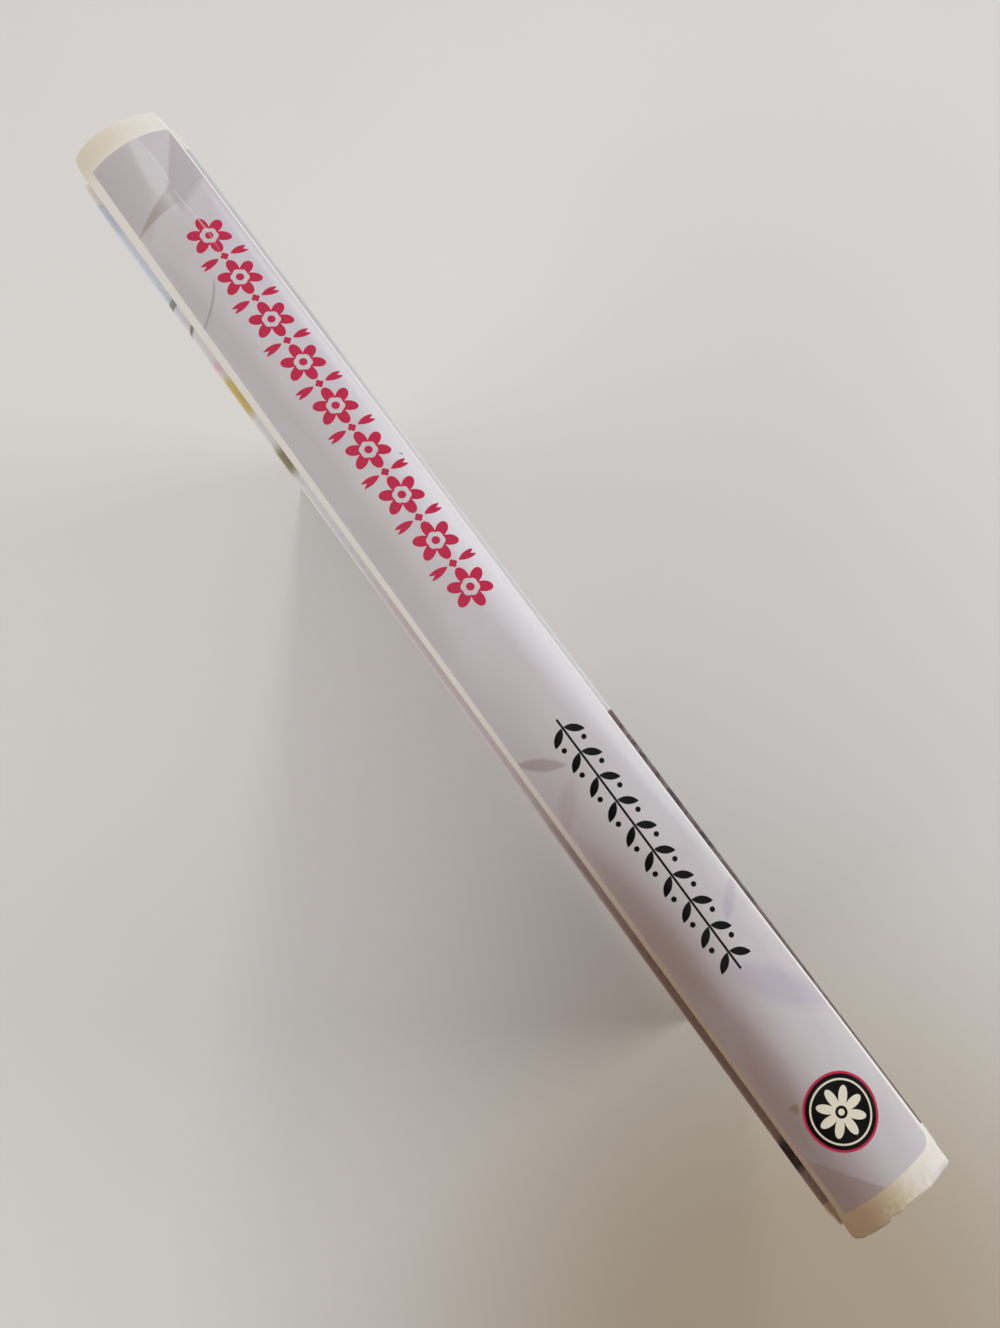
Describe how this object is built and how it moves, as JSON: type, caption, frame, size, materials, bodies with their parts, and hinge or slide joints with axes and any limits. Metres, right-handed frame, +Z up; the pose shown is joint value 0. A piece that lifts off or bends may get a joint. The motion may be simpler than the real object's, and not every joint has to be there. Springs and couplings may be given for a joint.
{
  "type": "hardcover book",
  "caption": "Closed hardcover cookbook standing on its fore edge, spine up, with a slightly rounded spine, joint grooves and two boards that swing open.",
  "frame": {"origin": "middle of the footprint on the surface that the book stands on", "axes": "+X along the spine from head to tail, +Y out of the front cover, +Z up, out of the spine"},
  "size_m": [0.25, 0.0228, 0.1976],
  "materials": {
    "pages": "coated paper, cut edges",
    "endpaper": "matt uncoated paper",
    "gauze": "open cotton weave",
    "kraft_paper": "matt",
    "headband_cloth": "woven cotton bead",
    "greyboard": "matt",
    "covering_paper": "glossy laminated print"
  },
  "bodies": {
    "book_block": {"page_block": "pages", "front_flyleaf": "endpaper", "back_flyleaf": "endpaper", "spine_mull": "gauze", "spine_liner": "kraft_paper", "head_band": "headband_cloth", "tail_band": "headband_cloth", "spine_stiffener": "greyboard", "spine_paper": "covering_paper"},
    "front_cover": {"front_board": "greyboard", "front_cover_paper": "covering_paper", "front_hinge_gauze": "gauze", "front_pastedown": "endpaper"},
    "back_cover": {"back_board": "greyboard", "back_cover_paper": "covering_paper", "back_hinge_gauze": "gauze", "back_pastedown": "endpaper"}
  },
  "joints": [
    {"name": "front_cover_hinge", "type": "hinge", "parent": "book_block", "child": "front_cover", "pos_m": [0, 0.01, 0.1924], "axis": [1, 0, 0], "range_deg": [0, 178]},
    {"name": "back_cover_hinge", "type": "hinge", "parent": "book_block", "child": "back_cover", "pos_m": [0, -0.01, 0.1924], "axis": [-1, 0, 0], "range_deg": [0, 178]}
  ]
}
